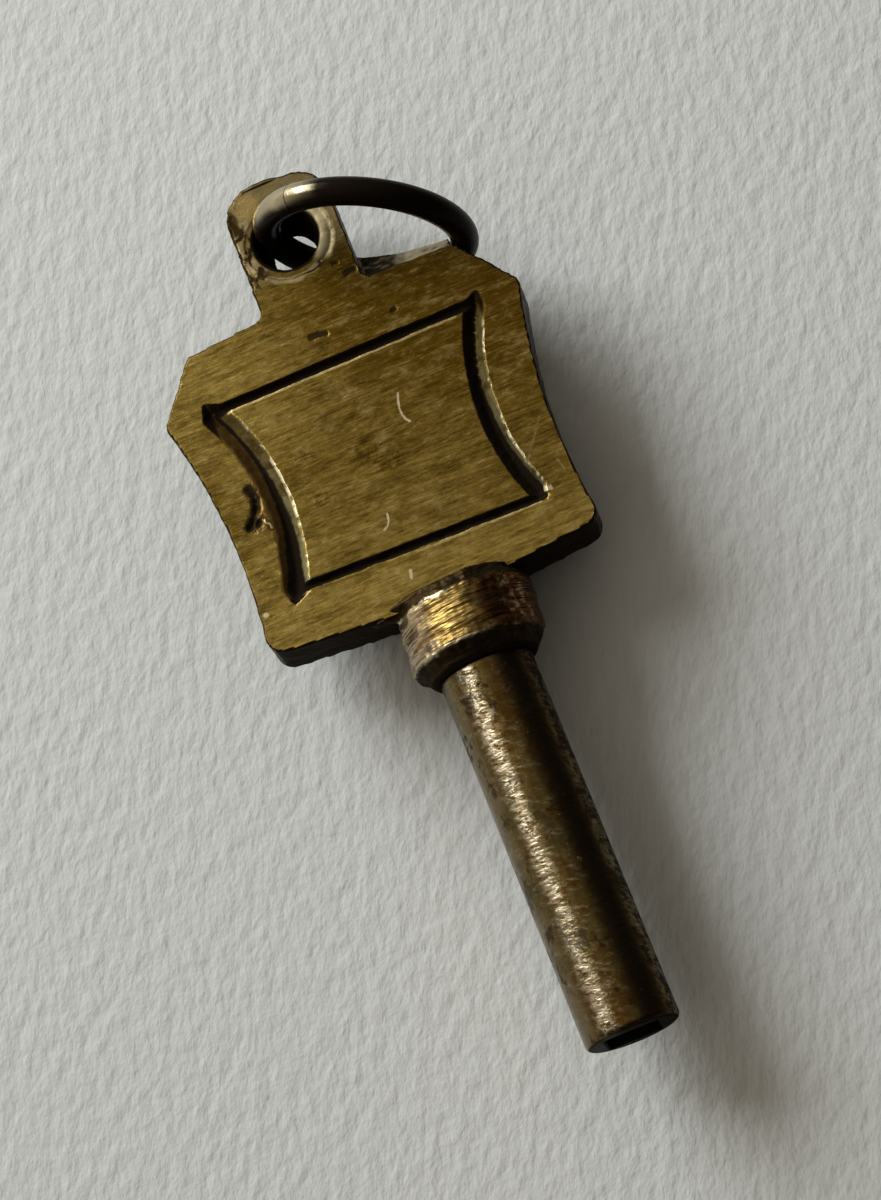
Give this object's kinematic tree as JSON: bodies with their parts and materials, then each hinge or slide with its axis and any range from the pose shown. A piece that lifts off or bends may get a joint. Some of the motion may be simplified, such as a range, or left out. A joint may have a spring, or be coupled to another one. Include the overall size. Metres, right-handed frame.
{
  "type": "watch key",
  "caption": "Small winding key: dark steel pipe with a square socket, turned brass collar, flat brass bow with an engraved frame, and a loose steel wire ring in its lug.",
  "frame": {"origin": "middle of the pipe's mouth, in the mouth's face", "axes": "+Y along the pipe from the mouth to the lug, +Z square to the bow's engraved face, +X across the bow to the right as the engraved face is seen with the lug up"},
  "size_m": [0.0132, 0.0327, 0.0079],
  "materials": {
    "pipe_steel": "dark brown patina, rubbed bright along the top",
    "collar_brass": "filed and rubbed, golden",
    "bow_brass": "finely drawn-filed, olive-brown with age",
    "ring_steel": "near-black, slightly polished by wear"
  },
  "bodies": {
    "key": {"pipe": "pipe_steel", "collar": "collar_brass", "bow_plate": "bow_brass"},
    "ring": {"suspension_ring": "ring_steel"}
  },
  "joints": [
    {"name": "ring_swing", "type": "hinge", "parent": "key", "child": "ring", "pos_m": [-0.00088, 0.03025, 0], "axis": [0, 0, 1], "range_deg": [0, 225]}
  ]
}
